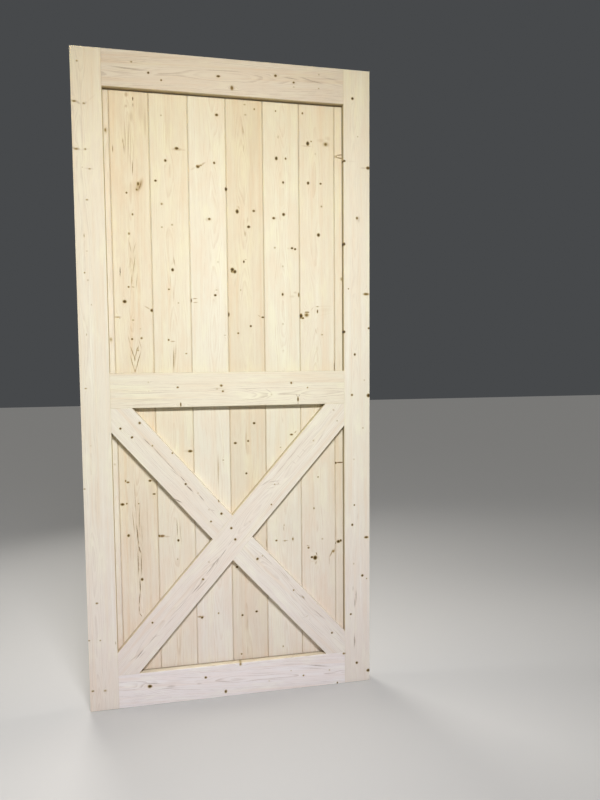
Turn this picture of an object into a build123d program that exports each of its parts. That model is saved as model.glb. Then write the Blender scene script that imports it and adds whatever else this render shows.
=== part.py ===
from build123d import *
import os
from math import atan2, ceil, degrees, hypot

# Barn door leaf: a softwood frame with an X brace over tongued and grooved V-joint boards.
# Millimetres. X runs across the leaf, Y through it with the front at -Y, and Z is up.
# The origin is the middle of the bottom edge.

# Leaf
leaf_width = 1000.0
leaf_height = 2210.0

# Planed timber of the frame and braces
frame_thickness = 26.0
stile_width = 95.0
rail_width = 118.0
middle_rail_foot = 1043.0       # underside of the middle rail above the foot of the leaf
brace_width = 105.0
half_brace_shift = 7.0          # the two half braces meet the long one this far below its middle
arris = 0.8                     # bevel round every front face

# Stub tenons of the rails
tenon_length = 25.0
tenon_thickness = 10.0
tenon_shoulder = 18.0           # rail width left above and below the tenon
mortise_side_clearance = 0.1
mortise_end_clearance = 1.5

# Tongued and grooved boards
board_count = 8
board_thickness = 18.0
left_board_trim = 15.5          # ripped off the face of the left board
right_board_trim = 4.5          # ripped off the face of the right board
joint_gap = 0.6
v_chamfer = 2.5
tongue_length = 7.0
tongue_thickness = 5.0
tongue_from_back = 6.0
tongue_lead = 0.8               # bevel on the tongue's two long edges
groove_side_clearance = 0.2
groove_end_clearance = 1.0

# Staples of square wire, driven from the back with glue under the boards
staple_crown = 11.0
staple_leg = 35.0
staple_wire = 1.6
staple_sink = 0.5
staple_clearance = 0.05
staple_tip_room = 1.0
stile_staple_spacing = 240.0    # largest distance between two staples of one stile
stile_staple_margin = 60.0      # from the ends of the stile
rail_staple_pitch = 60.0        # between the two staples of one board in a rail

# Planes and edges that pieces share
front = -(frame_thickness + board_thickness) / 2
seam = front + frame_thickness
back = seam + board_thickness
left_edge = -leaf_width / 2
right_edge = leaf_width / 2
board_cover = (leaf_width + left_board_trim + right_board_trim) / board_count
panel_left = left_edge + stile_width
panel_right = right_edge - stile_width
rail_feet = {
    "top": leaf_height - rail_width,
    "middle": middle_rail_foot,
    "bottom": 0.0,
}

# Rear face of the frame, facing the front: a sketch drawn here grows to the front face
frame_plane = Plane.XZ.offset(-seam)


def block(x, y, z):
    """A box from three (low, high) pairs."""
    size = [high - low for low, high in (x, y, z)]
    middle = [(high + low) / 2 for low, high in (x, y, z)]
    return Pos(*middle) * Box(*size)


def front_bevelled(timber):
    """The timber with the arris taken off all round its front face."""
    return chamfer(timber.edges().group_by(Axis.Y)[0], arris)


# Staples and their pockets

def staple_form(point, top, clearance, tip_room):
    """A staple at (x, z) with its crown up to y = top, grown all round by the clearance."""
    x, z = point
    half_crown = staple_crown / 2 + clearance
    half_wire = staple_wire / 2 + clearance
    crown_foot = back - staple_sink - staple_wire - clearance
    leg_foot = back - staple_sink - staple_leg - tip_room
    height = (z - half_wire, z + half_wire)
    form = block((x - half_crown, x + half_crown), (crown_foot, top), height)
    for edge in (x - half_crown, x + half_crown - 2 * half_wire):
        form += block((edge, edge + 2 * half_wire), (leg_foot, top), height)
    return form


def staples(points):
    top = back - staple_sink
    return Compound(children=[staple_form(point, top, 0, 0).solid() for point in points])


def stapled(timber, points):
    """The timber with a pocket for the staple at each point."""
    for point in points:
        timber -= staple_form(point, back, staple_clearance, staple_tip_room)
    return timber


# Boards: where each one starts and ends across the leaf

board_joints = [left_edge - left_board_trim + board_cover * i for i in range(1, board_count)]
board_spans = list(zip([left_edge] + board_joints, board_joints + [right_edge]))
inner_middles = [(left + right) / 2 for left, right in board_spans[1:-1]]


def board_outline(left, right):
    """Section of one board; the outer edges of the two end boards are ripped square."""
    tongue_back = back - tongue_from_back
    tongue_front = tongue_back - tongue_thickness
    first = left == left_edge
    last = right == right_edge
    near = left if first else left + joint_gap / 2
    far = right if last else right - joint_gap / 2

    if first:
        near_side = [(near, back), (near, seam)]
    else:
        groove_depth = tongue_length - joint_gap + groove_end_clearance
        groove_back = tongue_back + groove_side_clearance
        groove_front = tongue_front - groove_side_clearance
        near_side = [
            (near, back),
            (near, groove_back),
            (near + groove_depth, groove_back),
            (near + groove_depth, groove_front),
            (near, groove_front),
            (near, seam + v_chamfer),
            (near + v_chamfer, seam),
        ]
    if last:
        far_side = [(far, seam), (far, back)]
    else:
        tip = far + tongue_length
        far_side = [
            (far - v_chamfer, seam),
            (far, seam + v_chamfer),
            (far, tongue_front),
            (tip - tongue_lead, tongue_front),
            (tip, tongue_front + tongue_lead),
            (tip, tongue_back - tongue_lead),
            (tip - tongue_lead, tongue_back),
            (far, tongue_back),
            (far, back),
        ]
    return make_face(Polyline(*near_side, *far_side, close=True))


def board(left, right, staple_points):
    plain = extrude(board_outline(left, right), leaf_height)
    return stapled(plain, [point for point in staple_points if left < point[0] < right])


# Frame

def tenon(foot, end, outward, clearance, end_clearance):
    """The stub tenon at one rail end, or its mortise when clearances are given."""
    cheek = (frame_thickness - tenon_thickness) / 2 - clearance
    reach = end + outward * (tenon_length + end_clearance)
    return block(
        (min(end, reach), max(end, reach)),
        (front + cheek, seam - cheek),
        (foot + tenon_shoulder - clearance, foot + rail_width - tenon_shoulder + clearance),
    )


def rail(foot, staple_points):
    timber = front_bevelled(block((panel_left, panel_right), (front, seam), (foot, foot + rail_width)))
    timber += tenon(foot, panel_left, -1, 0, 0)
    timber += tenon(foot, panel_right, 1, 0, 0)
    return stapled(timber, staple_points)


def stile(outer, inner, staple_points):
    """A stile with one mortise for each rail in its inner edge."""
    timber = front_bevelled(block((min(outer, inner), max(outer, inner)), (front, seam), (0, leaf_height)))
    outward = 1 if outer > inner else -1
    for foot in rail_feet.values():
        timber -= tenon(foot, inner, outward, mortise_side_clearance, mortise_end_clearance)
    return stapled(timber, staple_points)


# Braces: drawn in the lower panel, seen from the front

panel_foot = rail_feet["bottom"] + rail_width
panel_head = rail_feet["middle"]
panel_width = panel_right - panel_left
panel_height = panel_head - panel_foot
panel_middle = ((panel_left + panel_right) / 2, (panel_foot + panel_head) / 2)
panel_diagonal = hypot(panel_width, panel_height)
lower_left = (panel_left, panel_foot)
upper_right = (panel_right, panel_head)
upper_left = (panel_left, panel_head)
lower_right = (panel_right, panel_foot)

# Where the half braces aim: square off the falling diagonal, down and to the left
half_brace_target = (
    panel_middle[0] - half_brace_shift * panel_height / panel_diagonal,
    panel_middle[1] - half_brace_shift * panel_width / panel_diagonal,
)


def brace_band(start, end):
    """A strip of brace width round the line from start to end, running on past start."""
    run = (end[0] - start[0], end[1] - start[1])
    turn = degrees(atan2(run[1], run[0]))
    return Pos(*start) * Rot(0, 0, turn) * Rectangle(2 * hypot(*run), brace_width)


def lower_panel():
    return Pos(*panel_middle) * Rectangle(panel_width, panel_height)


def long_brace_outline():
    run_on = (2 * upper_right[0] - lower_left[0], 2 * upper_right[1] - lower_left[1])
    return brace_band(lower_left, run_on) & lower_panel()


def half_brace_outline(corner):
    return (brace_band(corner, half_brace_target) & lower_panel()) - long_brace_outline()


def brace(outline, staple_points):
    timber = front_bevelled(extrude(frame_plane * outline, frame_thickness))
    return stapled(timber, staple_points)


# Staple places, as (x, z) points

def stile_staple_points(outer, inner):
    run = leaf_height - 2 * stile_staple_margin
    gaps = ceil(run / stile_staple_spacing)
    return [((outer + inner) / 2, stile_staple_margin + run * i / gaps) for i in range(gaps + 1)]


def rail_staple_points(foot):
    heights = [foot + (rail_width + side * rail_staple_pitch) / 2 for side in (-1, 1)]
    return [(x, z) for x in inner_middles for z in heights]


def brace_staple_points(start, end, middles):
    """Points at the given board middles on the line from start to end."""
    slope = (end[1] - start[1]) / (end[0] - start[0])
    return [(x, start[1] + slope * (x - start[0])) for x in middles]


half_count = len(inner_middles) // 2
left_stile_points = stile_staple_points(left_edge, panel_left)
right_stile_points = stile_staple_points(right_edge, panel_right)
rail_points = {name: rail_staple_points(foot) for name, foot in rail_feet.items()}
long_brace_points = brace_staple_points(lower_left, upper_right, inner_middles)
upper_half_points = brace_staple_points(upper_left, half_brace_target, inner_middles[:half_count])
lower_half_points = brace_staple_points(lower_right, half_brace_target, inner_middles[-half_count:])

stile_points = left_stile_points + right_stile_points
brace_points = long_brace_points + upper_half_points + lower_half_points
all_points = stile_points + sum(rail_points.values(), []) + brace_points


# The pieces by name

pieces = {
    "left_stile": stile(left_edge, panel_left, left_stile_points),
    "right_stile": stile(right_edge, panel_right, right_stile_points),
    "long_brace": brace(long_brace_outline(), long_brace_points),
    "upper_half_brace": brace(half_brace_outline(upper_left), upper_half_points),
    "lower_half_brace": brace(half_brace_outline(lower_right), lower_half_points),
    "stile_staples": staples(stile_points),
    "brace_staples": staples(brace_points),
}
for name, foot in rail_feet.items():
    pieces[f"{name}_rail"] = rail(foot, rail_points[name])
    pieces[f"{name}_rail_staples"] = staples(rail_points[name])
for number, (left, right) in enumerate(board_spans, start=1):
    pieces[f"board_{number}"] = board(left, right, all_points)

os.makedirs("parts", exist_ok=True)
for name, piece in pieces.items():
    export_step(piece, f"parts/{name}.step")
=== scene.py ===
import math

import bpy
from mathutils import Matrix

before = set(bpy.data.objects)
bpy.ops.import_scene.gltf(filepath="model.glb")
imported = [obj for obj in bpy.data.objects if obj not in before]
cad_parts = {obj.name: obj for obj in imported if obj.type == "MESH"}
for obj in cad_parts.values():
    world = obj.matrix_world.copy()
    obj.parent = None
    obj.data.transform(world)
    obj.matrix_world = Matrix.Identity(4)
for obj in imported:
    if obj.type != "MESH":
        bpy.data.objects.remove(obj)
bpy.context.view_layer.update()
print("barn door: frame loaded,", len(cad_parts), "pieces")


class Wire:
    # a socket that adds, multiplies and compares like a number
    def __init__(self, finish, socket):
        self.finish = finish
        self.socket = socket

    def __add__(self, other):
        return self.finish.maths("ADD", self, other)

    def __radd__(self, other):
        return self.finish.maths("ADD", other, self)

    def __sub__(self, other):
        return self.finish.maths("SUBTRACT", self, other)

    def __rsub__(self, other):
        return self.finish.maths("SUBTRACT", other, self)

    def __mul__(self, other):
        return self.finish.maths("MULTIPLY", self, other)

    def __rmul__(self, other):
        return self.finish.maths("MULTIPLY", other, self)

    def __truediv__(self, other):
        return self.finish.maths("DIVIDE", self, other)

    def __rtruediv__(self, other):
        return self.finish.maths("DIVIDE", other, self)

    def __abs__(self):
        return self.finish.maths("ABSOLUTE", self)


class Finish:
    # one material: node() adds any node, maths() one Math node
    def __init__(self, name):
        self.material = bpy.data.materials.new(name)
        self.material.use_nodes = True
        self.tree = self.material.node_tree
        self.tree.nodes.clear()

    def node(self, kind, settings, sockets, out=0):
        # out is the number or name of the output that is wanted
        made = self.tree.nodes.new("ShaderNode" + kind)
        for key, value in settings.items():
            if key == "stops":
                ramp = made.color_ramp.elements
                while len(ramp) < len(value):
                    ramp.new(0.5)
                for stop, (place, colour) in zip(ramp, value):
                    stop.position = place
                    stop.color = colour
            else:
                setattr(made, key, value)
        for key, value in sockets.items():
            if isinstance(value, Wire):
                self.tree.links.new(value.socket, made.inputs[key])
            else:
                made.inputs[key].default_value = value
        return Wire(self, made.outputs[out]) if made.outputs else made

    def maths(self, operation, *values):
        return self.node("Math", {"operation": operation}, dict(enumerate(values)))

    def vector(self, operation, *values, out="Vector"):
        return self.node("VectorMath", {"operation": operation}, dict(enumerate(values)), out)

    def dot(self, first, second):
        return self.vector("DOT_PRODUCT", first, second, out="Value")

    def metres(self):
        return self.node("TexCoord", {}, {}, "Object")

    def millimetres(self):
        # the place on the door in millimetres
        return self.node("VectorMath", {"operation": "SCALE"}, {0: self.metres(), "Scale": 1000.0})

    def normal(self):
        return self.node("NewGeometry", {}, {}, "Normal")

    def join(self, x, y, z):
        return self.node("CombineXYZ", {}, {0: x, 1: y, 2: z})

    def part(self, vector, axis):
        return self.node("SeparateXYZ", {}, {0: vector}, axis)

    def noise(self, vector, detail=2.0, roughness=0.5):
        sockets = {"Vector": vector, "Scale": 1.0, "Detail": detail, "Roughness": roughness}
        return self.node("TexNoise", {"noise_dimensions": "3D"}, sockets)

    def ease(self, value, low, high, top=1.0):
        # 0 at low, top at high, smooth between; low may be the larger one
        settings = {"interpolation_type": "SMOOTHSTEP", "clamp": True}
        return self.node("MapRange", settings, {0: value, 1: low, 2: high, 3: 0.0, 4: top})

    def mix(self, share, under, over, blend="MIX"):
        # 6, 7 and 2 are the Mix node's colour sockets
        settings = {"data_type": "RGBA", "blend_type": blend, "clamp_factor": True}
        return self.node("Mix", settings, {0: share, 6: under, 7: over}, 2)

    def ramp(self, value, stops):
        return self.node("ValToRGB", {"stops": stops}, {0: value})

    def bump(self, height, strength, distance):
        return self.node("Bump", {}, {"Strength": strength, "Distance": distance, "Height": height})

    def surface(self, sockets):
        # the one surface shader, joined to the output
        shader = self.node("BsdfPrincipled", {}, sockets)
        self.node("OutputMaterial", {}, {"Surface": shader})
        return self.material


def shade(red, green, blue):
    # a screen colour, 0 to 255, as the linear colour that a socket takes
    def lighten(level):
        level /= 255
        return level / 12.92 if level <= 0.04045 else ((level + 0.055) / 1.055) ** 2.4
    return (lighten(red), lighten(green), lighten(blue), 1.0)


# Spruce. Lengths are millimetres on the leaf: x across, z up, depth back from the front of the timber.
spruceLook = {
    "early": shade(233, 223, 200),      # wide pale part of a ring
    "late": shade(196, 164, 120),       # narrow dark part of a ring
    "greyLate": shade(188, 168, 142),   # the same on the frame and braces
    "heart": shade(228, 204, 166),      # broad warmer bands
    "pale": shade(240, 234, 214),       # broad paler bands
    "rosy": shade(232, 209, 180),       # patches along the timber
    "cream": shade(240, 234, 204),
    "end": shade(196, 160, 112),        # end grain
    "side": shade(214, 200, 120),       # painted shade and yellow bounce light on the frame's sawn edges
    "joint": shade(214, 196, 156),      # painted shade on the sides of the V joints
    "seam": shade(96, 80, 48),          # painted shade on the frame's edges, deepest at the boards; the joint itself also shows a dark line
    "foot": (1.0, 0.975, 1.105, 1.0),   # painted cooler light on the lower ends
    "knot": [
        (0.0, shade(208, 190, 144)), (0.3, shade(178, 156, 100)), (0.5, shade(130, 105, 52)),
        (0.72, shade(88, 67, 22)), (1.0, shade(48, 35, 4)),
    ],
    "streak": [                         # marks on the boards
        (0.0, shade(208, 182, 138)), (0.35, shade(180, 152, 106)),
        (0.6, shade(136, 110, 70)), (1.0, shade(54, 40, 18)),
    ],
    "greyStreak": [                     # marks on the frame and braces
        (0.0, shade(212, 194, 168)), (0.35, shade(182, 164, 138)),
        (0.6, shade(138, 120, 96)), (1.0, shade(56, 45, 30)),
    ],
    "fronts": (4.0, -22.0),             # front faces of the boards and of the frame, as y
    "seamEnd": 26.5,                    # a little deeper than the frame
    "halfWidth": 500.0,
    "halfHeight": 1105.0,
    "outerSkin": (0.2, 1.0),            # the leaf's own outside gets none of the painted edge shade
    "footLine": (1050.0, 120.0),        # heights between which the painted cooler light at the foot comes in
    "ringWidth": 3.0,
    "ringSpread": (17.0, 3.0, 1.0),     # rings crowd and open out: over this length, by this many, detail
    "ringUneven": 0.7,                  # how much the rings differ in darkness
    "ringBend": 8.0,
    "lateRise": (0.25, 0.88),           # the dark part comes in slowly and ends at once
    "lateFall": (0.9, 1.0),
    "wander": (380.0, 22.0, 26.0),      # the heart wanders: over this length, sideways, in depth
    "wanderNoise": (7.0, 1.5),          # its seed shift and detail
    "railTurn": 60.0,                   # a timber that leans more than this is a rail
    "knotGrow": (1.2, 0.6),             # knots fade out past their listed size
    "knotFade": 0.36,
    "push": (3.0, 9.0, 0.6),            # least and most size of push, and how much less a faint knot has
    "pushStretch": 0.4,                 # the push reaches further along the grain
    "pushSoft": 0.5,
    "swell": 0.9,
    "lineGrow": (1.35, 1.15),           # thin lines are drawn longer and darker, since their ends fade
    "markRim": (1.2, 0.2),
    "bandWarm": (0.5, 0.72),
    "bandPale": (0.46, 0.3),
    "patchRosy": (0.48, 0.66),
    "patchCream": (0.5, 0.34),
    "dashShow": (0.3, 0.66),            # rings break off and start again
    "fibreShow": (0.35, 0.75),
    "endFacing": (0.8, 0.95),
    "markShow": (0.0, 0.6),
    "knotShow": (0.06, 0.5),
    "ringShare": 0.42,
    "dashShare": 0.75,
    "fibreShare": 0.14,
    "paleShare": 0.6,
    "rosyShare": (0.28, 0.16),          # boards, frame
    "creamShare": 0.45,
    "endShare": 0.6,
    "roughness": 0.68,
    "roughnessFall": (0.12, 0.1, 0.2),  # in late rings, in knots, over the fibres
    "relief": (0.5, 0.5, 0.4),          # fibres and late rings stand up, knots lie lower
    "bump": (0.25, 0.0003),
    "specular": 0.22,
    "clouds": {                         # sizes and seed shifts across, deep and along, detail, roughness
        "ragged": ((4, 4, 5), (1, 0, 0), 2.0, 0.5),
        "warp": ((30, 30, 240), (1, 0, 0), 2.0, 0.5),
        "dash": ((5, 5, 45), (0, 1, 0), 2.0, 0.5),
        "fibre": ((0.9, 0.9, 60), (0, 0, 0), 3.0, 0.6),
        "band": ((16, 22, 600), (1, 0, 0), 3.0, 0.6),
        "patch": ((60, 60, 190), (3, 0, 0), 3.0, 0.6),
    },
    "raggedReach": 2.2,
}

# What a timber has unless its own list says otherwise
plainTimber = {"rings": 1.0, "warmth": 0.35, "grain": 0.7, "side": 0.45, "lines": []}

# The timbers. middle is (x, z) and turn is how far the grain leans from upright, in degrees.
# pith is the log's heart: (x, depth), or (x, z) where depth stands by itself.
# rise is how far the rings shift in a metre of the timber. seed keeps its noise apart from the others'.
# rings, warmth and grain are the rings' width, the warm bands and the rings' darkness.
# side is the share of the painted shade and bounce light on sawn edges. The seam shade is where the painted
# shade at the boards starts, and its share.
# tone is the timber's own tint; the bottom rail's is partly painted cooler, brighter light.
# knots and streaks: x, z, half width, half height, darkness, 0 to 1.
# lines: x, z at one end, x, z at the other, half thickness, darkness.
timbers = {
    "board_1": {
        "middle": (-444, 1105), "turn": 0, "pith": (-396, 34), "rise": 4, "seed": 1.3,
        "tone": (0.98, 1.0, 1.02),
        "knots": [
            (-399, 1962, 5, 11, 0.5), (-400, 1275, 7, 10, 0.38), (-399, 850, 5, 5, 0.3),
            (-470, 400, 6, 5, 0.6),
        ],
        "streaks": [(-397, 1960, 3, 14, 0.25), (-400, 1272, 4, 18, 0.2)],
    },
    "board_2": {
        "middle": (-325, 1105), "turn": 0, "pith": (-326, 16), "rise": 6, "seed": 2.1, "rings": 0.8,
        "warmth": 0.6, "grain": 1.0, "tone": (1.0, 0.99, 0.93),
        "knots": [
            (-337, 1762, 4, 4, 0.7), (-299, 1793, 5, 8, 0.7), (-303, 1774, 4, 5, 0.6),
            (-319, 1692, 4, 5, 0.6), (-332, 1628, 5, 6, 0.5), (-338, 1451, 4, 4, 0.6),
            (-352, 1402, 7, 6, 0.95), (-265, 1373, 5, 6, 0.85), (-327, 1340, 6, 4, 0.4),
            (-304, 1311, 4, 4, 0.3), (-331, 1276, 4, 4, 0.75), (-301, 1279, 5, 5, 0.55),
            (-313, 1238, 5, 5, 0.4), (-365, 791, 3, 5, 0.6), (-358, 786, 7, 4, 0.65),
            (-377, 710, 7, 5, 0.9), (-366, 712, 4, 4, 0.6), (-325, 710, 3, 3, 0.55), (-285, 788, 6, 4, 0.9),
            (-273, 741, 6, 3, 0.85), (-360, 600, 5, 6, 0.8), (-319, 442, 5, 6, 0.85),
            (-374, 1349, 9, 3, 0.35),
        ],
        "streaks": [
            (-309, 2068, 2.4, 8, 1.0), (-309, 2048, 2, 10, 0.5), (-377, 1903, 2.4, 18, 0.5),
            (-363, 1502, 1.6, 20, 0.95), (-330, 2080, 8, 12, 0.35), (-331, 2043, 6, 7, 0.3),
            (-316, 2010, 9, 26, 0.25), (-322, 1975, 7, 30, 0.2), (-284, 2030, 16, 70, 0.18),
            (-272, 1990, 7, 70, 0.25), (-310, 1780, 34, 34, 0.16), (-336, 1775, 18, 22, 0.14),
            (-344, 1930, 3, 12, 0.4), (-322, 1540, 20, 90, 0.16), (-322, 560, 24, 230, 0.18),
            (-355, 560, 5, 90, 0.2), (-297, 640, 5, 160, 0.2), (-282, 760, 12, 60, 0.15),
            (-374, 1350, 14, 4, 0.35), (-370, 1347, 1.5, 6, 0.6),
        ],
        "lines": [
            (-337, 2000, -336, 1890, 2.4, 0.26), (-324, 2010, -329, 1860, 2.4, 0.28),
            (-317, 1990, -322, 1830, 2.0, 0.22), (-286, 1812, -304, 1766, 8.5, 0.34),
            (-289, 1806, -302, 1768, 2.4, 0.5), (-308, 1940, -313, 1850, 2.0, 0.2),
            (-342, 1930, -340, 1890, 2.0, 0.35), (-314, 1870, -316, 1820, 1.6, 0.45),
            (-331, 1700, -331, 1640, 1.2, 0.2), (-334, 1610, -326, 1560, 1.8, 0.3),
            (-312, 1600, -322, 1560, 1.8, 0.3), (-330, 1560, -333, 1500, 1.6, 0.3),
            (-314, 1560, -324, 1490, 2.0, 0.35), (-326, 1500, -330, 1455, 2.0, 0.35),
            (-309, 1500, -316, 1440, 1.8, 0.3), (-320, 1450, -331, 1452, 2.2, 0.35),
            (-344, 1290, -334, 1255, 1.3, 0.3), (-336, 1252, -325, 1212, 1.6, 0.45),
            (-311, 1256, -323, 1212, 1.6, 0.45), (-339, 1225, -326, 1168, 1.6, 0.4),
            (-305, 1235, -322, 1168, 1.6, 0.45), (-324, 1222, -324, 1200, 3.0, 0.4),
            (-324, 1176, -324, 1162, 2.6, 0.4), (-311, 1280, -302, 1240, 1.3, 0.3),
            (-290, 1388, -268, 1376, 2.5, 0.3), (-347, 690, -340, 600, 1.5, 0.35),
            (-338, 790, -333, 640, 1.3, 0.35), (-334, 640, -328, 560, 1.6, 0.6),
            (-328, 562, -322, 536, 1.6, 0.7), (-331, 545, -330, 455, 1.4, 0.55),
            (-320, 535, -320, 455, 1.4, 0.5), (-324, 445, -326, 395, 1.5, 0.65),
            (-326, 400, -331, 350, 1.3, 0.6), (-331, 352, -331, 322, 1.2, 0.5),
            (-331, 324, -322, 308, 1.3, 0.45), (-317, 650, -315, 560, 1.5, 0.3),
            (-322, 712, -326, 600, 1.2, 0.45),
        ],
    },
    "board_3": {
        "middle": (-197, 1105), "turn": 0, "pith": (-197, 24), "rise": 3, "seed": 3.7,
        "tone": (1.0, 1.01, 0.96),
        "knots": [
            (-219, 2021, 3, 4, 0.4), (-170, 1916, 7, 5, 0.95), (-207, 1874, 5, 5, 0.85),
            (-241, 1806, 5, 4, 0.85), (-223, 1730, 5, 5, 0.5), (-224, 1653, 5, 4, 0.4),
            (-191, 1662, 5, 5, 0.4), (-192, 1511, 5, 6, 0.95), (-205, 1445, 4, 3, 0.7),
            (-175, 1399, 4, 3, 0.4), (-210, 1273, 4, 4, 0.7), (-152, 1226, 5, 3, 0.5),
            (-257, 592, 4, 5, 0.75), (-145, 886, 9, 5, 0.85), (-192, 572, 4, 5, 0.95),
            (-196, 505, 3, 3, 0.45),
        ],
        "streaks": [
            (-203, 2000, 3, 80, 0.2), (-168, 1913, 22, 7, 0.3), (-150, 1912, 12, 5, 0.2),
            (-195, 1845, 3, 30, 0.2), (-193, 1205, 5, 48, 0.3), (-152, 887, 20, 7, 0.2),
            (-248, 591, 15, 7, 0.62), (-232, 588, 18, 4, 0.3), (-198, 170, 6, 26, 0.2),
            (-223, 1731, 10, 9, 0.12),
        ],
        "lines": [
            (-188, 1556, -186, 1524, 1.8, 0.35), (-199, 1500, -200, 1450, 1.2, 0.25),
            (-206, 1268, -188, 1268, 2.2, 0.35), (-193, 1250, -196, 1165, 1.8, 0.45),
            (-186, 1262, -188, 1200, 1.3, 0.35), (-196, 650, -194, 585, 1.4, 0.45),
            (-186, 640, -184, 555, 1.2, 0.35), (-203, 245, -204, 160, 1.8, 0.22),
            (-193, 240, -194, 150, 1.8, 0.22), (-205, 1640, -204, 1560, 1.2, 0.2),
            (-192, 1450, -190, 1400, 1.2, 0.25),
        ],
    },
    "board_4": {
        "middle": (-69, 1105), "turn": 0, "pith": (-52, 30), "rise": 5, "seed": 4.9, "warmth": 0.2,
        "tone": (1.01, 1.04, 1.03),
        "knots": [
            (-34, 2035, 6, 5, 0.85), (-45, 1875, 4, 5, 0.85), (-100, 1859, 6, 5, 0.85),
            (-92, 1864, 5, 3, 0.5), (-65, 1686, 5, 4, 0.85), (-8, 1789, 3.2, 7, 1.0),
            (-49, 1427, 5, 4, 0.95), (-45, 1445, 4, 4, 0.35), (-132, 1408, 4, 8, 0.8),
            (-38, 1541, 4, 5, 0.3), (-18, 1289, 5, 3, 0.35), (-31, 850, 4, 4, 0.4), (-115, 286, 5, 4, 0.9),
            (-57, 297, 4, 5, 0.5),
        ],
        "streaks": [
            (-50, 820, 5, 70, 0.25), (-27, 1960, 5, 40, 0.15), (-120, 290, 14, 5, 0.5),
            (-68, 1684, 15, 9, 0.24), (-62, 1555, 4, 26, 0.15), (-50, 1412, 10, 8, 0.15),
            (-34, 2035, 12, 10, 0.12),
        ],
        "lines": [
            (-98, 1862, -74, 1876, 3.4, 0.3), (-102, 1859, -93, 1864, 4.0, 0.55),
            (-104, 1857, -124, 1847, 4.0, 0.18), (-128, 1414, -110, 1415, 2.0, 0.4),
            (-126, 1401, -108, 1402, 2.0, 0.35), (-47, 870, -49, 745, 1.4, 0.35),
            (-38, 760, -38, 700, 1.2, 0.2),
        ],
    },
    "board_5": {
        "middle": (58, 1105), "turn": 0, "pith": (52, 26), "rise": 4, "seed": 5.2, "warmth": 0.45,
        "tone": (0.95, 0.94, 0.87),
        "knots": [
            (-4, 1789, 2, 6, 0.8), (95, 2063, 4, 5, 0.5), (64, 2042, 7, 4, 0.35), (62, 2076, 7, 4, 0.35),
            (31, 1715, 6, 8, 0.95), (88, 1719, 6, 5, 0.7), (70, 1664, 6, 5, 0.95), (12, 1516, 7, 7, 0.95),
            (17, 1509, 7, 7, 0.9), (50, 1544, 3, 5, 0.95), (38, 1446, 3, 4, 0.4), (-3, 1361, 4, 9, 0.75),
            (115, 1352, 6, 3, 0.9), (73, 1321, 4, 4, 0.95), (29, 1296, 4, 4, 0.7), (80, 978, 5, 4, 1.0),
            (13, 909, 6, 4, 0.9), (58, 915, 4, 4, 0.8), (50, 799, 4, 4, 0.9), (12, 461, 5, 4, 0.95),
            (29, 282, 4, 4, 0.9), (80, 291, 5, 4, 0.95), (24, 138, 4, 4, 0.6),
        ],
        "streaks": [
            (54, 1990, 4, 24, 0.3), (88, 1960, 32, 150, 0.12), (58, 1640, 5, 14, 0.35),
            (56, 1780, 4, 30, 0.18), (20, 1470, 4, 30, 0.15), (52, 925, 4, 70, 0.22),
            (46, 250, 4, 46, 0.25), (46, 145, 3, 26, 0.25), (92, 1540, 26, 260, 0.08),
        ],
        "lines": [
            (52, 2010, 60, 1972, 2.0, 0.3), (57, 1945, 56, 1915, 2.0, 0.25),
            (98, 1360, 110, 1353, 2.0, 0.3), (67, 1700, 66, 1675, 1.6, 0.25),
            (52, 1552, 60, 1551, 1.5, 0.35), (122, 830, 122, 800, 2.4, 0.45),
            (118, 560, 122, 515, 2.2, 0.35), (128, 560, 123, 515, 2.2, 0.35),
            (33, 1735, 38, 1722, 3.0, 0.25),
        ],
    },
    "board_6": {
        "middle": (186, 1105), "turn": 0, "pith": (188, 28), "rise": 4, "seed": 6.6, "warmth": 0.25,
        "tone": (1.0, 1.03, 1.0),
        "knots": [
            (169, 2062, 3, 4, 0.6), (177, 1975, 5, 9, 0.3), (170, 1902, 5, 7, 1.0), (202, 1903, 4, 5, 0.7),
            (193, 1821, 4, 5, 0.85), (159, 1697, 6, 5, 0.8), (193, 1711, 6, 6, 0.9), (162, 1595, 5, 5, 0.4),
            (222, 1595, 5, 4, 0.95), (231, 1592, 5, 4, 0.95), (190, 1531, 4, 6, 0.35),
            (188, 1433, 4, 6, 0.8), (245, 1432, 4, 11, 0.6), (188, 1329, 5, 4, 0.35),
            (188, 1234, 6, 4, 0.25), (215, 933, 7, 4, 0.7), (175, 888, 4, 3, 0.4), (156, 548, 5, 4, 0.7),
            (216, 550, 4, 4, 0.6), (187, 545, 4, 5, 0.4), (177, 151, 4, 5, 0.45), (185, 603, 4, 4, 0.35),
        ],
        "streaks": [
            (233, 1440, 10, 6, 0.25), (222, 1426, 16, 7, 0.2), (212, 1594, 9, 5, 0.2),
            (184, 985, 3, 14, 0.2), (188, 1560, 6, 60, 0.08), (165, 1697, 12, 8, 0.15),
        ],
        "lines": [
            (178, 545, 200, 546, 1.5, 0.4), (222, 937, 232, 946, 2.5, 0.35),
            (216, 560, 216, 540, 1.5, 0.35), (183, 600, 184, 580, 1.6, 0.3),
        ],
    },
    "board_7": {
        "middle": (313, 1105), "turn": 0, "pith": (306, 30), "rise": 5, "seed": 7.4,
        "tone": (1.0, 1.01, 0.975),
        "knots": [
            (264, 2061, 4, 5, 0.6), (282, 1959, 6, 8, 1.0), (292, 1967, 4, 4, 0.5), (346, 1960, 8, 8, 0.6),
            (309, 1925, 4, 6, 0.3), (283, 1823, 5, 6, 0.9), (327, 1823, 5, 4, 0.75),
            (330, 1744, 5, 5, 0.45), (319, 1644, 6, 7, 0.92), (254, 1358, 6, 9, 1.0),
            (272, 1361, 12, 10, 0.55), (274, 1371, 8, 3, 0.55), (262, 1350, 6, 4, 0.8),
            (311, 1374, 3, 8, 0.75), (311, 1391, 8, 3, 0.4), (249, 1296, 3, 8, 1.0), (328, 1291, 6, 4, 0.4),
            (312, 774, 4, 4, 0.5), (296, 659, 4, 6, 0.5), (275, 513, 5, 4, 0.7), (299, 474, 8, 9, 1.0),
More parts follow.
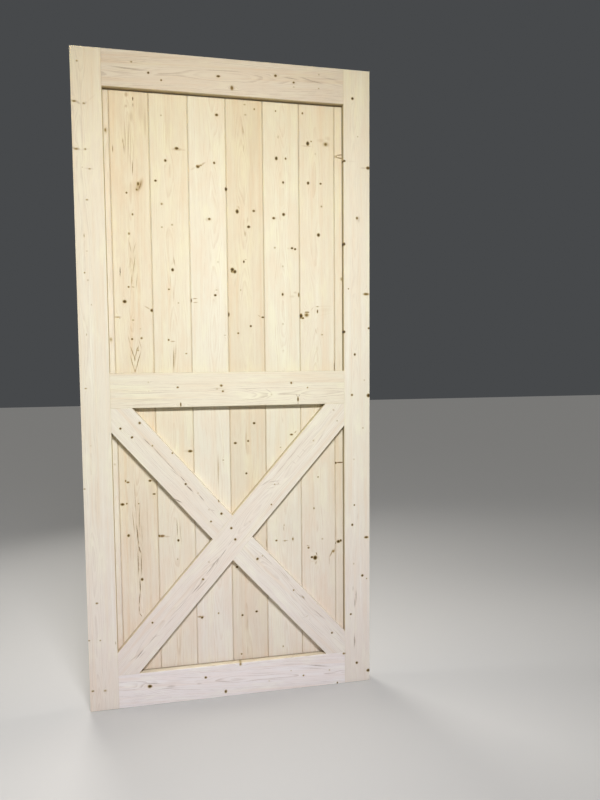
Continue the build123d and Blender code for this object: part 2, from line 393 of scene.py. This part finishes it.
            (291, 477, 6, 4, 1.0), (325, 543, 6, 5, 0.35), (366, 494, 7, 7, 0.5),
        ],
        "streaks": [
            (278, 1950, 22, 3, 0.3), (330, 1972, 22, 10, 0.2), (352, 1980, 13, 12, 0.2),
            (346, 1960, 16, 13, 0.3), (310, 1240, 7, 16, 0.2), (312, 1200, 6, 16, 0.15),
            # the streak at x 374, z 1176 is a painted shadow on the joint
            (374, 1176, 3, 24, 0.6), (340, 1380, 34, 12, 0.13), (300, 476, 14, 10, 0.15),
            (262, 1650, 6, 300, 0.06),
        ],
        "lines": [
            (284, 1376, 300, 1392, 2.0, 0.22), (300, 1392, 372, 1394, 1.6, 0.15),
            (306, 1358, 372, 1370, 1.6, 0.12), (299, 494, 299, 482, 1.4, 0.6),
            (299, 464, 299, 448, 1.8, 0.3), (280, 518, 273, 524, 1.8, 0.35), (372, 504, 352, 472, 3.0, 0.4),
            (352, 482, 351, 440, 1.4, 0.3), (302, 1315, 310, 1292, 1.6, 0.25),
        ],
    },
    "board_8": {
        "middle": (438, 1105), "turn": 0, "pith": (425, 30), "rise": 4, "seed": 8.8, "warmth": 0.5,
        "tone": (0.985, 1.0, 0.965),
        "knots": [
            (385, 1920, 3, 6, 0.5), (379, 823, 4, 4, 0.95), (388, 529, 7, 6, 1.0), (379, 523, 4, 3, 1.0),
            (392, 532, 5, 5, 1.0), (455, 1500, 6, 6, 0.8), (440, 300, 5, 6, 0.7), (404, 1490, 8, 12, 0.4),
        ],
        "streaks": [(397, 1920, 12, 4, 0.2), (391, 1640, 5, 300, 0.06)],
        "lines": [
            (384, 1924, 410, 1928, 1.9, 0.55), (384, 1917, 410, 1914, 1.9, 0.6),
            (381, 1925, 381, 1913, 1.6, 0.4), (378, 824, 408, 824, 2.2, 0.75),
            (400, 530, 408, 530, 2.0, 0.5), (404, 560, 406, 440, 2.0, 0.35),
        ],
    },
    "left_stile": {
        "middle": (-452, 1105), "turn": 0, "pith": (-473, 20), "rise": 3, "seed": 11.2, "seam": (16, 0.35),
        "tone": (1.04, 1.05, 1.04),
        "knots": [
            (-478, 2163, 5, 4, 0.45), (-490, 2037, 9, 4, 0.55), (-462, 2032, 6, 4, 0.45),
            (-488, 1887, 10, 4, 0.5), (-462, 1888, 5, 5, 0.45), (-472, 1830, 3, 3, 0.3),
            (-450, 1826, 6, 3, 0.45), (-460, 1727, 6, 4, 0.45), (-472, 1612, 2, 9, 0.45),
            (-465, 1562, 5, 3, 0.3), (-474, 1492, 3, 4, 0.52), (-465, 1468, 4, 3, 0.38),
            (-456, 1388, 3, 4, 0.34), (-474, 1290, 2, 6, 0.38), (-482, 1112, 6, 3, 0.45),
            (-472, 920, 5, 4, 0.26), (-496, 775, 6, 3, 0.45), (-468, 380, 6, 4, 0.56),
            (-497, 252, 5, 4, 0.45), (-461, 249, 4, 3, 0.45), (-411, 235, 2, 8, 0.38),
            (-490, 73, 6, 4, 0.56), (-450, 70, 8, 6, 0.42),
        ],
        "streaks": [
            (-470, 1950, 2.5, 170, 0.22), (-472, 1560, 2, 70, 0.25), (-474, 1240, 1.5, 50, 0.2),
            (-478, 2120, 3, 40, 0.2),
        ],
        "lines": [
            (-500, 2042, -468, 2028, 4.2, 0.3), (-468, 2028, -452, 2038, 4.0, 0.25),
            (-452, 2038, -424, 2064, 3.0, 0.14), (-492, 2035, -492, 1990, 1.9, 0.2),
            (-500, 1892, -476, 1885, 4.4, 0.32), (-476, 1884, -452, 1890, 3.6, 0.2),
            (-472, 2150, -471, 2040, 1.8, 0.14), (-468, 1828, -436, 1826, 2.0, 0.22),
        ],
    },
    "right_stile": {
        "middle": (452, 1105), "turn": 0, "pith": (446, 22), "rise": 3, "seed": 12.5, "seam": (4, 0.8),
        "tone": (1.04, 1.06, 1.06),
        "knots": [
            (438, 2113, 5, 5, 1.0), (408, 1898, 5, 4, 0.95), (494, 1878, 8, 6, 0.9), (454, 1702, 5, 6, 0.7),
            (457, 1984, 3, 3, 0.4), (407, 1610, 5, 6, 0.95), (422, 1453, 3, 3, 0.6),
            (487, 1435, 14, 6, 0.65), (406, 1300, 5, 5, 1.0), (497, 1313, 5, 4, 0.8),
            (445, 1219, 4, 5, 0.95), (480, 1126, 4, 4, 0.35), (434, 1073, 5, 5, 0.7),
            (495, 1070, 7, 7, 0.95), (475, 952, 4, 4, 0.4), (441, 838, 5, 5, 0.3), (442, 669, 3, 4, 0.8),
            (434, 596, 4, 5, 0.95), (487, 546, 9, 5, 0.85), (440, 450, 4, 5, 0.35), (472, 403, 5, 5, 0.95),
            (487, 390, 4, 4, 0.45), (428, 260, 4, 4, 0.9), (404, 112, 5, 5, 0.5), (450, 72, 5, 5, 0.95),
            (494, 38, 8, 6, 0.95),
        ],
        "streaks": [
            (445, 300, 1.6, 22, 0.4), (445, 155, 1.6, 18, 0.35), (468, 1330, 4, 110, 0.15),
            (430, 2010, 2, 30, 0.2), (458, 1698, 8, 18, 0.3), (480, 1877, 18, 5, 0.28),
            (434, 1898, 24, 4, 0.16),
        ],
        "lines": [
            (449, 352, 448, 300, 1.6, 0.45), (438, 368, 437, 345, 1.4, 0.35),
            (443, 322, 442, 282, 1.4, 0.4), (442, 182, 441, 130, 1.7, 0.5), (456, 640, 455, 610, 1.4, 0.25),
        ],
    },
    "top_rail": {
        "middle": (0, 2151), "turn": -88, "pith": (-20, 2150), "depth": 30, "rise": 5, "seed": 13.1,
        "warmth": 0.45, "grain": 1.5, "seam": (2, 1.0), "tone": (0.94, 0.935, 0.97),
        "knots": [
            (-309, 2174, 5, 4, 0.45), (-256, 2144, 4, 4, 0.9), (-215, 2124, 4, 4, 0.65),
            (-28, 2151, 7, 4, 0.9), (17, 2117, 7, 10, 0.62), (166, 2168, 6, 5, 0.75),
            (229, 2151, 5, 4, 0.7), (229, 2137, 4, 3, 0.35), (318, 2184, 3, 4, 0.4), (317, 2138, 4, 3, 0.4),
        ],
        "streaks": [(-320, 2152, 60, 5, 0.25), (290, 2160, 44, 6, 0.25), (0, 2162, 200, 3, 0.12)],
        "lines": [
            (-385, 2156, -255, 2148, 2.6, 0.35), (-390, 2140, -290, 2138, 2.0, 0.25),
            (248, 2171, 300, 2160, 2.0, 0.32), (270, 2164, 335, 2154, 2.0, 0.34),
            (190, 2166, 250, 2160, 1.8, 0.35), (-90, 2166, 60, 2172, 1.6, 0.25),
            (330, 2176, 385, 2170, 1.8, 0.3),
        ],
    },
    "middle_rail": {
        "middle": (0, 1102), "turn": -90, "pith": (0, 1083), "depth": 26, "rise": 8, "seed": 14.6,
        "grain": 1.4, "seam": (4, 0.8), "tone": (1.02, 1.03, 0.99),
        "knots": [
            (-280, 1130, 5, 5, 0.3), (-279, 1100, 3, 3, 0.3), (-183, 1111, 5, 4, 0.65),
            (-174, 1052, 2.5, 9, 0.8), (-35, 1114, 6, 5, 0.65), (-30, 1095, 5, 4, 0.65),
            (-50, 1103, 5, 4, 0.35), (211, 1120, 4, 5, 0.75), (270, 1103, 4, 4, 0.5),
            (235, 1062, 3, 10, 0.85), (140, 1080, 4, 5, 0.3),
        ],
        "streaks": [(-230, 1065, 150, 3, 0.14), (-250, 1085, 120, 4, 0.1), (235, 1050, 2, 12, 0.5)],
        "lines": [
            (10, 1103, 118, 1101, 1.6, 0.28), (118, 1101, 142, 1084, 1.8, 0.28),
            (142, 1078, 118, 1066, 1.8, 0.25), (120, 1066, 10, 1063, 1.6, 0.25),
            (-76, 1104, -20, 1104, 3.0, 0.22), (-390, 1092, -200, 1094, 1.6, 0.25),
            (-380, 1072, -220, 1070, 1.6, 0.25), (-390, 1052, -190, 1056, 1.6, 0.25),
            (228, 1078, 235, 1062, 1.4, 0.4), (243, 1078, 235, 1062, 1.4, 0.4),
            (160, 1083, 260, 1082, 1.4, 0.2),
        ],
    },
    "bottom_rail": {
        "middle": (0, 59), "turn": -93, "pith": (0, 60), "depth": 24, "rise": 6, "seed": 15.9, "grain": 1.6,
        # painted light: the bottom rail's tone is partly cooler, brighter light at the foot
        "seam": (14, 0.85), "tone": (1.11, 1.16, 1.26),
        "knots": [
            (-300, 68, 8, 6, 1.0), (-107, 78, 5, 5, 0.85), (-37, 19, 5, 7, 0.85), (17, 113, 7, 9, 0.5),
            (201, 69, 4, 3, 0.35), (247, 46, 4, 4, 0.65), (120, 40, 5, 4, 0.3), (375, 3, 3, 5, 0.8),
            (345, 55, 5, 6, 0.35), (400, 112, 6, 5, 0.6),
        ],
        "streaks": [(-228, 60, 24, 7, 0.3), (-130, 59, 14, 4, 0.3), (-360, 63, 40, 2.4, 0.25)],
        "lines": [
            (260, 84, 345, 68, 2.2, 0.4), (230, 76, 330, 62, 1.8, 0.3), (-320, 78, -260, 72, 1.8, 0.35),
            (-280, 56, -200, 52, 1.6, 0.3), (-90, 60, 10, 52, 1.6, 0.3), (40, 76, 160, 66, 1.6, 0.25),
            (60, 50, 190, 40, 1.6, 0.25), (-220, 88, -120, 80, 1.6, 0.25), (140, 96, 260, 88, 1.8, 0.25),
            (-380, 40, -250, 34, 1.6, 0.2),
        ],
    },
    "long_brace": {
        "middle": (0, 580), "turn": -41.2, "pith": (0, 575), "depth": 26, "rise": 5, "seed": 16.4,
        "grain": 0.8, "seam": (15, 0.6), "tone": (1.03, 1.04, 1.05),
        "knots": [
            (5, 570, 5, 5, 0.8), (-8, 611, 5, 5, 0.8), (-110, 435, 5, 4, 0.7), (-286, 295, 4, 4, 0.75),
            (-88, 495, 4, 4, 0.35), (135, 688, 4, 3, 0.65), (148, 760, 4, 4, 0.4), (161, 763, 3, 3, 0.35),
            (290, 912, 6, 4, 0.35), (378, 981, 4, 4, 0.4), (365, 1020, 7, 4, 0.35), (58, 630, 3, 4, 0.3),
        ],
        "streaks": [],
        "lines": [
            (-368, 163, -335, 188, 1.7, 0.27), (-346, 170, -318, 203, 1.9, 0.43),
            (-336, 172, -312, 196, 1.4, 0.27), (-298, 226, -268, 256, 1.7, 0.31),
            (-294, 240, -258, 250, 1.4, 0.23), (-252, 270, -200, 322, 1.5, 0.23),
            (-230, 305, -160, 372, 1.4, 0.27), (-214, 330, -150, 390, 1.2, 0.23),
            (-152, 385, -112, 428, 1.7, 0.39), (-140, 388, -92, 438, 1.7, 0.35),
            (-132, 402, -104, 446, 1.9, 0.31), (-102, 448, -62, 496, 1.5, 0.39),
            (-84, 476, -44, 516, 1.9, 0.39), (-66, 482, -52, 508, 1.7, 0.35),
            (-50, 508, -26, 540, 1.5, 0.39), (-24, 545, 0, 572, 1.4, 0.27), (20, 600, 60, 640, 1.4, 0.16),
            (60, 690, 120, 750, 1.4, 0.2), (96, 755, 128, 772, 2, 0.27), (104, 762, 140, 780, 1.7, 0.27),
            (122, 768, 168, 772, 1.7, 0.31), (132, 758, 172, 760, 1.5, 0.27),
            (118, 745, 150, 750, 1.4, 0.23), (150, 792, 196, 844, 1.9, 0.27),
            (176, 800, 236, 862, 1.5, 0.2), (186, 836, 232, 884, 2.5, 0.27),
            (200, 850, 262, 924, 2.5, 0.23), (226, 872, 292, 950, 1.7, 0.2), (254, 882, 326, 962, 1.5, 0.2),
            (300, 900, 330, 940, 2, 0.23), (240, 930, 270, 960, 3.4, 0.16), (210, 842, 226, 830, 1.7, 0.23),
            (228, 862, 244, 850, 1.7, 0.23), (246, 884, 262, 872, 1.7, 0.2),
        ],
    },
    "upper_half_brace": {
        "middle": (-203, 812), "turn": 40.4, "pith": (-203, 812), "depth": 22, "rise": 5, "seed": 17.7,
        "grain": 1.1, "side": 0.12, "tone": (1.02, 1.03, 1.04),
        "knots": [
            (-375, 975, 4, 4, 0.9), (-312, 992, 5, 5, 0.75), (-338, 944, 5, 4, 0.85),
            (-272, 913, 4, 4, 0.5), (-206, 885, 4, 4, 0.6), (-163, 776, 4, 4, 1.0), (-122, 742, 3, 3, 0.4),
            (-85, 682, 4, 4, 0.3), (-50, 709, 4, 4, 0.65), (-42, 665, 5, 5, 0.8), (-78, 640, 4, 4, 0.7),
        ],
        "streaks": [(-312, 992, 9, 8, 0.15), (-45, 714, 8, 8, 0.15)],
        "lines": [
            (-302, 940, -274, 912, 1.5, 0.44), (-270, 910, -236, 866, 1.4, 0.39),
            (-262, 895, -222, 855, 1.1, 0.29), (-240, 872, -188, 812, 1.3, 0.39),
            (-216, 834, -182, 802, 1.3, 0.34), (-182, 806, -164, 782, 1.4, 0.44),
            (-160, 772, -140, 748, 1.5, 0.49), (-152, 766, -136, 744, 1.2, 0.39),
            (-120, 738, -100, 712, 1.4, 0.44), (-330, 874, -270, 806, 1.4, 0.29),
            (-296, 838, -204, 728, 1.4, 0.29), (-204, 728, -176, 712, 1.9, 0.49),
            (-186, 706, -160, 676, 1.5, 0.29), (-362, 912, -330, 878, 1.4, 0.29),
            (-272, 800, -214, 730, 1.2, 0.25), (-190, 898, -176, 876, 1.4, 0.34),
            (-96, 700, -60, 660, 1.2, 0.25), (-84, 682, -62, 676, 2, 0.25),
        ],
    },
    "lower_half_brace": {
        "middle": (203, 349), "turn": 41.7, "pith": (203, 352), "depth": 22, "rise": 5, "seed": 18.3,
        "grain": 1.1, "side": 0.12, "tone": (1.04, 1.07, 1.08),
        "knots": [
            (83, 494, 6, 5, 0.75), (100, 503, 4, 4, 0.4), (213, 369, 4, 4, 0.6), (248, 340, 3, 4, 0.4),
            (262, 268, 7, 4, 0.25), (355, 196, 4, 4, 0.85), (300, 310, 3, 3, 0.3),
        ],
        "streaks": [(90, 497, 11, 9, 0.18)],
        "lines": [
            (54, 556, 96, 520, 1.2, 0.21), (86, 522, 122, 482, 1.5, 0.32), (102, 506, 138, 466, 1.4, 0.28),
            (158, 452, 198, 400, 1.5, 0.28), (168, 448, 200, 408, 1.2, 0.24),
            (176, 436, 202, 402, 1.4, 0.28), (196, 396, 216, 372, 1.2, 0.18),
            (220, 360, 256, 330, 1.5, 0.35), (240, 350, 256, 328, 1.7, 0.39),
            (230, 398, 268, 356, 1.2, 0.21), (262, 312, 298, 276, 1.3, 0.21),
            (288, 290, 326, 250, 1.7, 0.35), (284, 276, 312, 258, 1.3, 0.24),
            (312, 268, 334, 246, 1.3, 0.24), (276, 356, 300, 316, 1.3, 0.18),
            (336, 222, 362, 190, 1.4, 0.21), (364, 204, 392, 172, 1.4, 0.24),
            (374, 210, 400, 180, 1.2, 0.21), (240, 262, 268, 270, 1.9, 0.18),
            (130, 440, 170, 400, 1.2, 0.11),
        ],
    },
}


def leafPoint(timber, x, z):
    # a point of the leaf as its place across and along this timber's grain
    turn = math.radians(timber["turn"])
    x0, z0 = timber["middle"]
    dx, dz = x - x0, z - z0
    return dx * math.cos(turn) + dz * math.sin(turn), -dx * math.sin(turn) + dz * math.cos(turn)


def cloud(finish, kind, seed, grain):
    # noise stretched along the grain
    sizes, shifts, detail, roughness = spruceLook["clouds"][kind]
    places = []
    for line, size, shift in zip(grain, sizes, shifts):
        places.append(line / size + seed * shift if shift else line / size)
    return finish.noise(finish.join(*places), detail, roughness)


def pushKnots(finish, timber, across, along):
    # each knot in turn pushes the grain aside and darkens its own place
    look = spruceLook
    swell, knots = 0.0, 0.0
    sideways = abs(timber["turn"]) > look["railTurn"]       # a knot's width then lies along the grain
    reach, rim = look["knotGrow"]
    least, most, faint = look["push"]
    for x, z, halfWide, halfHigh, dark in timber["knots"]:
        u, w = leafPoint(timber, x, z)
        flat = finish.join(across, along, 0)
        acrossHalf, alongHalf = (halfHigh, halfWide) if sideways else (halfWide, halfHigh)
        grow = reach / (acrossHalf + rim), reach / (alongHalf + rim)
        spot = finish.vector("MULTIPLY_ADD", flat, (*grow, 0), (-u * grow[0], -w * grow[1], 0))
        fade = finish.maths("POWER", look["knotFade"], finish.dot(spot, spot))
        knots = finish.maths("MAXIMUM", knots, fade * dark)
        size = max(least, min(acrossHalf, most)) * (1 - faint + faint * dark)
        pull = 1 / size, look["pushStretch"] / size
        near = finish.vector("MULTIPLY_ADD", flat, (*pull, 0), (-u * pull[0], -w * pull[1], 0))
        close = size / (finish.dot(near, near) + look["pushSoft"])
        across = across - finish.part(near, 0) * close
        swell = swell + close * look["swell"]
    return across, swell, knots


def drawMarks(finish, timber, across, along):
    # broad streaks, then thin lines, seen on this timber
    marks = [(x, z, halfWide, halfHigh, 0.0, dark) for x, z, halfWide, halfHigh, dark in timber["streaks"]]
    longer, darker = spruceLook["lineGrow"]
    for fromX, fromZ, toX, toZ, half, dark in timber["lines"]:
        reach = math.hypot(toX - fromX, toZ - fromZ) / 2
        lean = math.atan2(toZ - fromZ, toX - fromX)
        middle = (fromX + toX) / 2, (fromZ + toZ) / 2
        marks.append((*middle, reach * longer, half * longer, lean, dark * darker))
    turn = math.radians(timber["turn"])
    rim, core = spruceLook["markRim"]
    unseen = 1e6                        # the third place only carries the marks so far to the next one
    streak = 0.0
    for x, z, halfLong, halfThick, lean, dark in marks:
        u, w = leafPoint(timber, x, z)
        spot = finish.node("Mapping", {"vector_type": "TEXTURE"}, {
            "Vector": finish.join(across, along, streak), "Location": (u, w, 0),
            "Rotation": (0, 0, lean - turn), "Scale": (halfLong, halfThick, unseen),
        })
        ring = finish.vector("LENGTH", spot, out="Value")
        streak = finish.maths("MAXIMUM", streak, finish.ease(ring, rim, core, dark))
    return streak


def growRings(finish, timber, across, along, deep, swell):
    # how dark each growth ring is, round a heart that wanders along the timber, sideways and in depth
    look = spruceLook
    seed = timber["seed"]
    if "depth" in timber:
        pithX, pithZ = timber["pith"]
        pithDepth = timber["depth"]
    else:
        pithX, pithDepth = timber["pith"]
        pithZ = timber["middle"][1]
    pithU = leafPoint(timber, pithX, pithZ)[0]
    turnLength, sideReach, deepReach = look["wander"]
    seedShift, wanderDetail = look["wanderNoise"]
    wander = finish.node("TexNoise", {"noise_dimensions": "1D"}, {
        "W": along / turnLength + seed * seedShift, "Scale": 1.0, "Detail": wanderDetail,
    }, "Color")
    side = across - pithU + (finish.part(wander, 0) - 0.5) * sideReach
    depth = deep - pithDepth + (finish.part(wander, 1) - 0.5) * deepReach
    warp = cloud(finish, "warp", seed, (across, deep, along))

    radius = finish.maths("SQRT", side * side + depth * depth)
    radius = radius + swell + along * (timber["rise"] / 1000) + (warp - 0.5) * look["ringBend"]
    rings = radius / (look["ringWidth"] * timber["rings"])
    spread, most, detail = look["ringSpread"]
    rings = rings + finish.noise(finish.join(radius / spread, seed, seed), detail) * most
    phase = finish.maths("FRACT", rings)
    late = finish.ease(phase, *look["lateRise"]) - finish.ease(phase, *look["lateFall"])
    number = finish.maths("FLOOR", rings) + seed
    each = finish.node("TexWhiteNoise", {"noise_dimensions": "1D"}, {"W": number})
    dash = cloud(finish, "dash", seed, (across, deep, along))
    uneven, broken = look["ringUneven"], look["dashShare"]
    steady = each * uneven + (1 - uneven)
    return late * steady * (finish.ease(dash, *look["dashShow"]) * broken + (1 - broken))


def spruce(name, listed):
    look = spruceLook
    timber = {**plainTimber, **listed}
    isBoard = name.startswith("board")
    lateColour = look["late" if isBoard else "greyLate"]
    turn = math.radians(timber["turn"])
    seed = timber["seed"]
    x0, z0 = timber["middle"]
    boardFront, frameFront = look["fronts"]

    # across and along the grain, and depth from the timber's front
    finish = Finish("spruce_" + name)
    place = finish.millimetres()
    upward = (-math.sin(turn), 0, math.cos(turn))
    shifted = finish.vector("SUBTRACT", place, (x0, boardFront if isBoard else frameFront, z0))
    across = finish.dot(shifted, (math.cos(turn), 0, math.sin(turn)))
    along = finish.dot(shifted, upward)
    deep = finish.part(shifted, 1)
    ragged = cloud(finish, "ragged", seed, (across, deep, along))
    across = across + (ragged - 0.5) * look["raggedReach"]

    across, swell, knots = pushKnots(finish, timber, across, along)
    streak = drawMarks(finish, timber, across, along)
    late = growRings(finish, timber, across, along, deep, swell)
    fibre = cloud(finish, "fibre", seed, (across, deep, along))
    band = cloud(finish, "band", seed, (across, deep, along))
    patch = cloud(finish, "patch", seed, (across, deep, along))
    normal = finish.normal()

    # broad colour first, then the rings, fibres, marks and knots
    boardRosy, frameRosy = look["rosyShare"]
    rosyShare = boardRosy if isBoard else frameRosy
    endGrain = finish.ease(abs(finish.dot(normal, upward)), *look["endFacing"])
    colour = finish.mix(finish.ease(band, *look["bandWarm"]) * timber["warmth"], look["early"], look["heart"])
    colour = finish.mix(finish.ease(band, *look["bandPale"]) * look["paleShare"], colour, look["pale"])
    colour = finish.mix(finish.ease(patch, *look["patchRosy"]) * rosyShare, colour, look["rosy"])
    colour = finish.mix(finish.ease(patch, *look["patchCream"]) * look["creamShare"], colour, look["cream"])
    colour = finish.mix(late * (look["ringShare"] * timber["grain"]), colour, lateColour)
    colour = finish.mix(endGrain * look["endShare"], colour, look["end"])
    colour = finish.mix(finish.ease(fibre, *look["fibreShow"]) * look["fibreShare"], colour, lateColour)
    mark = finish.ramp(streak, look["streak" if isBoard else "greyStreak"])
    colour = finish.mix(finish.ease(streak, *look["markShow"]), colour, mark)
    colour = finish.mix(finish.ease(knots, *look["knotShow"]), colour, finish.ramp(knots, look["knot"]))

    # faces that look sideways or up and down: painted shade on sawn edges and V joints, and painted shade at
    # the seam with the boards
    skin, core = look["outerSkin"]
    halfWidth, halfHeight = look["halfWidth"], look["halfHeight"]
    inside = finish.ease(abs(finish.part(place, 0)), halfWidth - skin, halfWidth - core)
    fromMiddle = abs(finish.part(place, 2) - halfHeight)
    inside = inside * finish.ease(fromMiddle, halfHeight - skin, halfHeight - core)
    edge = (1.0 - abs(finish.part(normal, 1))) * inside
    edgeShade = look["joint" if isBoard else "side"]
    # painted shade on the sideways faces, with painted yellow bounce light on the frame's
    colour = finish.mix(edge * timber["side"], colour, edgeShade, "MULTIPLY")
    # painted shade on the sideways faces, deepening towards the boards, darkest at the joint
    if "seam" in timber:
        seamFrom, seamShare = timber["seam"]
        shadow = finish.ease(deep, seamFrom, look["seamEnd"]) * edge
        colour = finish.mix(shadow * seamShare, colour, look["seam"])
    # painted light: the lower part of the leaf turns cooler
    foot = finish.ease(finish.part(place, 2), *look["footLine"])
    colour = finish.mix(foot, colour, look["foot"], "MULTIPLY")
    colour = finish.mix(1.0, colour, (*timber["tone"], 1.0), "MULTIPLY")

    lateFall, knotFall, fibreSpread = look["roughnessFall"]
    rough = look["roughness"] - late * lateFall - knots * knotFall + (fibre - 0.5) * fibreSpread
    fibreRise, lateRise, knotDrop = look["relief"]
    height = fibre * fibreRise + late * lateRise - knots * knotDrop
    return finish.surface({
        "Base Color": colour, "Roughness": rough, "Normal": finish.bump(height, *look["bump"]),
        "Specular IOR Level": look["specular"],
    })


for name, listed in timbers.items():
    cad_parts[name].material_slots[0].material = spruce(name, listed)
print("barn door: spruce on", len(timbers), "timbers")


# Galvanised wire of the staples
wireLook = {
    "zinc": shade(196, 198, 200),
    "dull": shade(132, 135, 138),
    "cloudScale": (0.9, 0.9, 0.9),
    "cloudDetail": 3.0,
    "drawnScale": (0.3, 3.0, 6.0),      # fine lines from drawing the wire
    "drawnDetail": 2.0,
    "clouding": (0.35, 0.7),
    "roughness": 0.38,
    "roughnessSpread": 0.3,
    "bump": (0.3, 0.0001),
}
stapleNodes = (
    "stile_staples", "top_rail_staples", "middle_rail_staples", "bottom_rail_staples", "brace_staples",
)


def stapleWire():
    look = wireLook
    finish = Finish("staple_wire")
    place = finish.millimetres()
    clouds = finish.noise(finish.vector("MULTIPLY", place, look["cloudScale"]), look["cloudDetail"])
    drawn = finish.noise(finish.vector("MULTIPLY", place, look["drawnScale"]), look["drawnDetail"])
    return finish.surface({
        "Base Color": finish.mix(finish.ease(clouds, *look["clouding"]), look["zinc"], look["dull"]),
        "Metallic": 1.0,
        "Roughness": look["roughness"] + (clouds - 0.5) * look["roughnessSpread"],
        "Normal": finish.bump(drawn, *look["bump"]),
    })


wire = stapleWire()
for name in stapleNodes:
    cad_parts[name].material_slots[0].material = wire
print("barn door: staples galvanised")


# Floor, in metres
floorLook = {
    "size": 30.0,
    "colour": shade(182, 180, 176),
    "cloud": shade(168, 166, 162),
    "cloudShare": 0.08,
    "cloudScale": (1.5, 1.5, 1.5),
    "cloudDetail": 4.0,
    "roughness": 0.8,
}


def layFloor():
    look = floorLook
    half = look["size"] / 2
    corners = [(-half, -half, 0), (half, -half, 0), (half, half, 0), (-half, half, 0)]
    mesh = bpy.data.meshes.new("studioFloor")
    mesh.from_pydata(corners, [], [(0, 1, 2, 3)])
    floor = bpy.data.objects.new("studioFloor", mesh)
    bpy.context.scene.collection.objects.link(floor)
    finish = Finish("studio_floor")
    place = finish.vector("MULTIPLY", finish.metres(), look["cloudScale"])
    clouds = finish.noise(place, look["cloudDetail"])
    colour = finish.mix(clouds * look["cloudShare"], look["colour"], look["cloud"])
    mesh.materials.append(finish.surface({"Base Color": colour, "Roughness": look["roughness"]}))


# Lights: the key and top lamps light the front, and right and left only the outer sides
sky = {"colour": (0.90, 0.95, 1.0, 1.0), "strength": 0.07}
sun = {"place": (0.0, 0.0, 4.0), "power": 1.1, "angle": 25}     # soft light straight down, for the floor
lamps = {
    "key": {
        "place": (0.10, -2.0, 2.23), "target": (-0.12, 0.0, 0.25), "size": (0.6, 0.16),
        "power": 28.0, "spread": 118, "colour": (0.89, 0.90, 0.96),
    },
    "top": {
        "place": (-0.1, -2.6, 2.3), "target": (-0.05, 0.0, 2.2), "size": (1.6, 0.1),
        "power": 1.75, "spread": 50, "colour": (1.0, 0.78, 0.35),
    },
    "back": {
        "place": (-1.0, 2.8, 2.4), "target": (0.0, 0.0, 1.0), "size": (1.4, 0.8),
        "power": 32.0, "spread": 110, "colour": (1.0, 0.98, 0.95),
    },
    "right": {
        "place": (3.2, 0.5, 1.3), "target": (0.5, 0.0, 1.15), "size": (0.5, 1.6),
        "power": 8.0, "spread": 60, "colour": (1.0, 0.97, 0.93),
    },
    "left": {
        "place": (-3.2, 0.5, 1.3), "target": (-0.5, 0.0, 1.15), "size": (0.5, 1.6),
        "power": 8.0, "spread": 60, "colour": (1.0, 0.97, 0.93),
    },
}


def lightSky():
    world = bpy.data.worlds.new("studioSky")
    bpy.context.scene.world = world
    world.use_nodes = True
    background = world.node_tree.nodes["Background"]
    background.inputs["Color"].default_value = sky["colour"]
    background.inputs["Strength"].default_value = sky["strength"]


def hangLamp(name, lamp):
    light = bpy.data.lights.new(name + "Light", "AREA")
    light.shape = "RECTANGLE"
    light.size, light.size_y = lamp["size"]
    light.energy = lamp["power"]
    light.color = lamp["colour"]
    light.spread = math.radians(lamp["spread"])
    lightObject = bpy.data.objects.new(name + "Light", light)
    bpy.context.scene.collection.objects.link(lightObject)
    aim(lightObject, lamp["place"], lamp["target"])


def hangSun():
    light = bpy.data.lights.new("sunLight", "SUN")
    light.energy = sun["power"]
    light.angle = math.radians(sun["angle"])
    lightObject = bpy.data.objects.new("sunLight", light)
    lightObject.location = sun["place"]
    bpy.context.scene.collection.objects.link(lightObject)


def aim(thing, place, target):
    # turn a lamp's -Z to the target, keeping its own X level
    forward = [b - a for a, b in zip(place, target)]
    length = math.sqrt(sum(step * step for step in forward))
    yaw = math.atan2(forward[0], forward[1])
    pitch = math.asin(forward[2] / length)
    thing.matrix_world = (Matrix.Translation(place) @ Matrix.Rotation(-yaw, 4, "Z")
                          @ Matrix.Rotation(math.pi / 2 + pitch, 4, "X"))


# The camera at the photo's angle: metres, degrees, and the lens in mm on a 36 mm sensor
view = {
    "place": (-0.1707, -2.1143, 1.2004), "yaw": 11.163, "down": 3.799, "roll": 0.461,
    "lens": 27.045, "sensor": 36.0,
}


def placeCamera():
    lens = bpy.data.cameras.new("doorCamera")
    lens.sensor_width = view["sensor"]
    lens.lens = view["lens"]
    camera = bpy.data.objects.new("doorCamera", lens)
    bpy.context.scene.collection.objects.link(camera)
    camera.matrix_world = (Matrix.Translation(view["place"])
                           @ Matrix.Rotation(-math.radians(view["yaw"]), 4, "Z")
                           @ Matrix.Rotation(math.pi / 2 - math.radians(view["down"]), 4, "X")
                           @ Matrix.Rotation(-math.radians(view["roll"]), 4, "Z"))
    bpy.context.scene.camera = camera


layFloor()
lightSky()
for name, lamp in lamps.items():
    hangLamp(name, lamp)
hangSun()
placeCamera()
bpy.context.scene.view_settings.view_transform = "Standard"
print("barn door: studio set")
